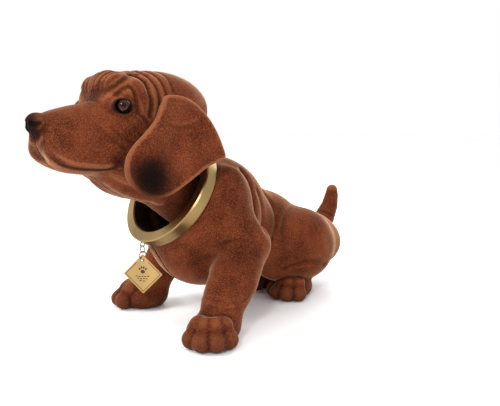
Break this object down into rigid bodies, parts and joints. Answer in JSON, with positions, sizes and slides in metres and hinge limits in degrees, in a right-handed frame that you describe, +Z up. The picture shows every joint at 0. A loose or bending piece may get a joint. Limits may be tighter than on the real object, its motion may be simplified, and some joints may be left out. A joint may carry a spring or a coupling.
{
  "type": "nodding dog figurine",
  "caption": "Flocked hollow sitting dachshund figure with a gold collar ring, a hanging tag and a weighted head that nods, turns and sways on an internal hook.",
  "frame": {"origin": "middle of the footprint's bounding box, on the surface that the soles stand on", "axes": "+Z up, the dog faces -Y, its left side is +X"},
  "size_m": [0.144, 0.2882, 0.178],
  "materials": {
    "flock_brown": "flocked",
    "eye": "gloss",
    "gold_collar": "satin metallised",
    "gold_wire": "satin",
    "gold_tag": "satin",
    "steel_wire": "satin",
    "weight_steel": "matte",
    "black_plastic": "matte"
  },
  "bodies": {
    "root": {"body_shell_left": "flock_brown", "body_shell_right": "flock_brown", "tail": "flock_brown", "collar_ring": "gold_collar", "collar_eyelet": "gold_wire", "hanger_hook": "steel_wire"},
    "hanger": {"hanger_eye": "steel_wire"},
    "swivel_barrel": {"swivel": "steel_wire"},
    "head": {"head_shell_left": "flock_brown", "head_shell_right": "flock_brown", "ear_left": "flock_brown", "ear_right": "flock_brown", "eye_left": "eye", "eye_right": "eye", "neck_staple": "steel_wire", "counterweight": "weight_steel", "weight_plug": "black_plastic"},
    "upper_link": {"tag_link_upper": "gold_wire"},
    "tag_plate": {"tag_link_lower": "gold_wire", "tag": "gold_tag"}
  },
  "joints": [
    {"name": "head_sway", "type": "hinge", "parent": "root", "child": "hanger", "pos_m": [-0.0075, -0.0205, 0.1135], "axis": [0, 1, 0], "range_deg": [-5, 5]},
    {"name": "head_turn", "type": "hinge", "parent": "hanger", "child": "swivel_barrel", "pos_m": [-0.0075, -0.0205, 0.1085], "axis": [0, 0, 1], "range_deg": [-12, 6]},
    {"name": "head_nod", "type": "hinge", "parent": "swivel_barrel", "child": "head", "pos_m": [-0.0075, -0.0205, 0.10425], "axis": [0.9945, 0.1045, 0], "range_deg": [-5, 12]},
    {"name": "tag_link_sway", "type": "hinge", "parent": "root", "child": "upper_link", "pos_m": [-0.0075, -0.0665, 0.0565], "axis": [0, 1, 0], "range_deg": [-20, 20]},
    {"name": "tag_swing", "type": "hinge", "parent": "upper_link", "child": "tag_plate", "pos_m": [-0.0075, -0.0665, 0.0522], "axis": [1, 0, 0], "range_deg": [-20, 20]}
  ]
}
